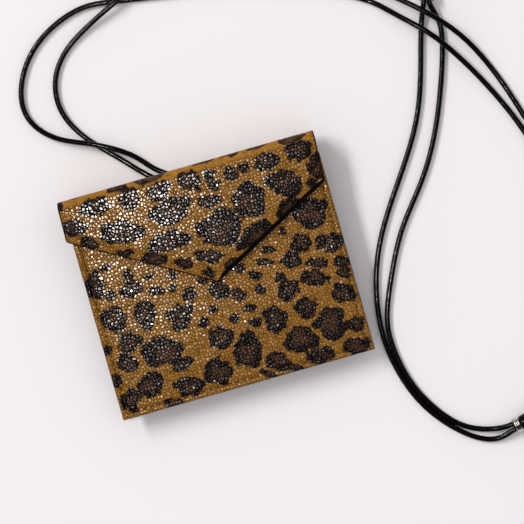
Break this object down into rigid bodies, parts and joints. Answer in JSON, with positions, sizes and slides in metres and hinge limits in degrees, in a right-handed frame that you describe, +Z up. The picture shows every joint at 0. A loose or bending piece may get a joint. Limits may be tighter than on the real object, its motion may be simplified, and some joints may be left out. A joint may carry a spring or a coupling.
{
  "type": "neck pouch wallet",
  "caption": "Square printed-leather neck pouch with a V-shaped flap, inner card pockets, a folded gusset and a long round cord with sliding adjusters.",
  "frame": {"origin": "centre of the back panel's outer face", "axes": "+Z up from the table the pouch rests on, nearly the direction the front faces (the pouch leans 2.2 degrees about X on its own cord); +Y towards the top fold; +X to the right when the flap faces the viewer"},
  "size_m": [0.2546, 0.2425, 0.0183],
  "materials": {
    "printed_leather": "pebbled grain, spotted print, semi-gloss",
    "dark_lining": "smooth thin lining, matt",
    "pocket_fabric": "fine plain weave",
    "black_leather": "polished round cord",
    "silver_plate": "polished silver plate",
    "steel": "plain"
  },
  "bodies": {
    "pouch": {"back_panel": "printed_leather", "back_lining": "dark_lining", "card_pocket_rear": "pocket_fabric", "card_pocket_front": "pocket_fabric", "gusset": "dark_lining", "front_lining": "dark_lining", "front_panel": "printed_leather", "eyelet_left": "silver_plate", "eyelet_right": "silver_plate", "eyelet_washer_left": "steel", "eyelet_washer_right": "steel", "magnet_front": "steel", "neck_cord": "black_leather"},
    "spine": {"spine_leather": "printed_leather", "spine_lining": "dark_lining"},
    "flap": {"flap_leather": "printed_leather", "flap_lining": "dark_lining", "magnet_flap": "steel"},
    "slider_upper": {"slider_upper_ring_front": "silver_plate", "slider_upper_sleeve": "black_leather", "slider_upper_ring_rear": "silver_plate"},
    "slider_lower": {"slider_lower_ring_front": "silver_plate", "slider_lower_sleeve": "black_leather", "slider_lower_ring_rear": "silver_plate"}
  },
  "joints": [
    {"name": "spine_fold", "type": "hinge", "parent": "pouch", "child": "spine", "pos_m": [0, 0.0485, 0.00327], "axis": [-1, 0, 0], "range_deg": [0, 80]},
    {"name": "flap_fold", "type": "hinge", "parent": "spine", "child": "flap", "pos_m": [0, 0.04805, 0.01505], "axis": [-1, 0, 0], "range_deg": [0, 90]},
    {"name": "upper_slider_slide", "type": "slide", "parent": "pouch", "child": "slider_upper", "axis": [0.274, 0.9617, 0], "range_m": [0, 0.012]},
    {"name": "lower_slider_slide", "type": "slide", "parent": "pouch", "child": "slider_lower", "axis": [0.9816, 0.1908, 0], "range_m": [0, 0.012]}
  ]
}
